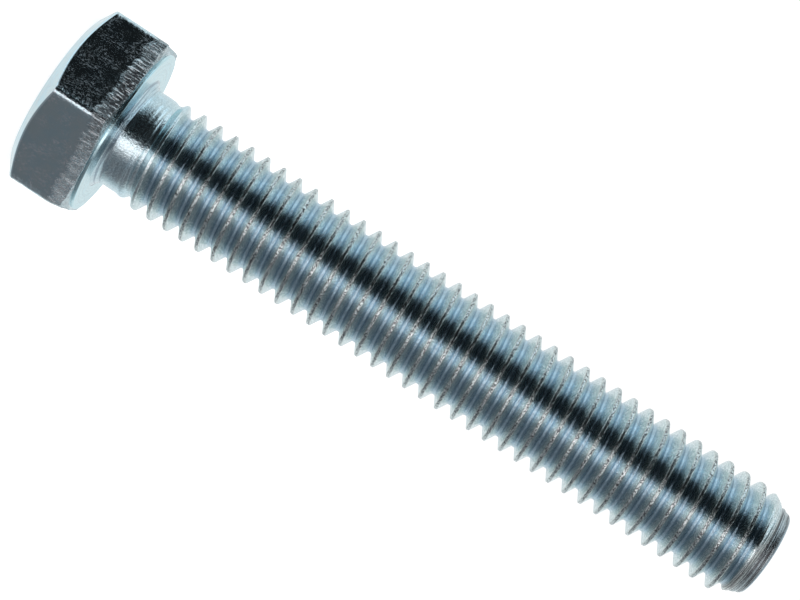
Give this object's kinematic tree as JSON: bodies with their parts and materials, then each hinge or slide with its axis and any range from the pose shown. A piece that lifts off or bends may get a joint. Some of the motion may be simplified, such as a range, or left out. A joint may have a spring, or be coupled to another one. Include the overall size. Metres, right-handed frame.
{
  "type": "hex bolt",
  "caption": "Fully threaded hex head bolt with a chamfered head, a washer face, a short neck and a chamfered point, in bright zinc plate.",
  "frame": {"origin": "centre of the bearing face under the head, on the bolt's axis", "axes": "+Z along the shank from the bearing face to the point, head below z = 0; +X and -X are the outward normals of two wrench flats, +Y and -Y run through two head corners"},
  "size_m": [0.0128, 0.0148, 0.0554],
  "materials": {
    "zinc_head": "bright blue-white zinc plate, satin with fine forging grain",
    "zinc_shank": "bright blue-white zinc plate over rolled thread"
  },
  "bodies": {
    "root": {"hex_head": "zinc_head", "washer_face": "zinc_head", "neck": "zinc_shank", "threaded_shank": "zinc_shank", "chamfered_point": "zinc_shank"}
  },
  "joints": []
}
